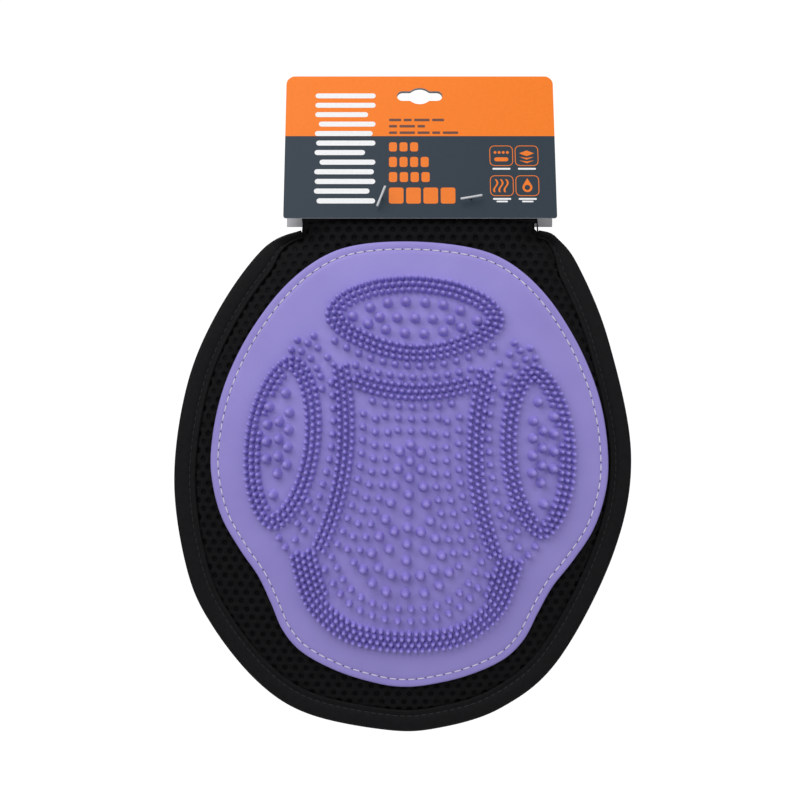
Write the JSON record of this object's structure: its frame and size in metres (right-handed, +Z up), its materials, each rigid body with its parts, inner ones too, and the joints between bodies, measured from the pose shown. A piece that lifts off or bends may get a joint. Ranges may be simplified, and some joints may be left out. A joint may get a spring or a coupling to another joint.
{
  "type": "pet grooming glove",
  "caption": "Round fabric grooming mitt with a domed, nubbed rubber pad sewn to its front, pinned by its wrist opening into a folded hanging header card.",
  "frame": {"origin": "centre of the hang slot in the header card", "axes": "+Z up along the hanging mitt, +X to the right seen from the front, the nubbed front faces -Y"},
  "size_m": [0.1967, 0.0234, 0.2832],
  "materials": {
    "air_mesh": "matt knitted spacer mesh, black",
    "binding_tape": "woven twill tape, black",
    "dark_thread": "spun polyester thread, black",
    "pale_thread": "spun polyester thread, pale lilac",
    "pad_rubber": "soft satin moulded rubber, lilac",
    "foam": "thin soft foam sheet",
    "lining": "thin woven lining",
    "card_stock": "unprinted paperboard, pale grey",
    "printed_card": "printed and varnished paperboard, orange and slate",
    "nylon": "translucent moulded nylon"
  },
  "bodies": {
    "card": {"card_back_panel": "card_stock", "neck_front_mesh": "air_mesh", "neck_back_mesh": "air_mesh", "wrist_band_front": "binding_tape", "wrist_band_back": "binding_tape", "neck_side_seam_left": "binding_tape", "neck_side_seam_right": "binding_tape"},
    "card_front": {"card_front_panel": "printed_card"},
    "mitt": {"front_mesh_panel": "air_mesh", "back_mesh_panel": "air_mesh", "edge_binding": "binding_tape", "edge_stitching_front": "dark_thread", "edge_stitching_back": "dark_thread", "nub_pad": "pad_rubber", "pad_stitching": "pale_thread", "foam_interlining": "foam", "palm_lining": "lining"},
    "tag_pin_left": {"tag_pin_left": "nylon"},
    "tag_pin_right": {"tag_pin_right": "nylon"}
  },
  "joints": [
    {"name": "mitt_swing", "type": "hinge", "parent": "card", "child": "mitt", "pos_m": [0, -0.006, -0.0575], "axis": [-1, 0, 0], "range_deg": [-15, 40]},
    {"name": "card_fold", "type": "hinge", "parent": "card", "child": "card_front", "pos_m": [0, -0.0006, 0.0084], "axis": [-1, 0, 0], "range_deg": [-0.5, 1.5]},
    {"name": "tag_pin_left_turn", "type": "hinge", "parent": "card", "child": "tag_pin_left", "pos_m": [-0.0164, 0, -0.0466], "axis": [0, -1, 0], "continuous": true},
    {"name": "tag_pin_right_turn", "type": "hinge", "parent": "card", "child": "tag_pin_right", "pos_m": [0.0214, 0, -0.047], "axis": [0, -1, 0], "continuous": true}
  ]
}
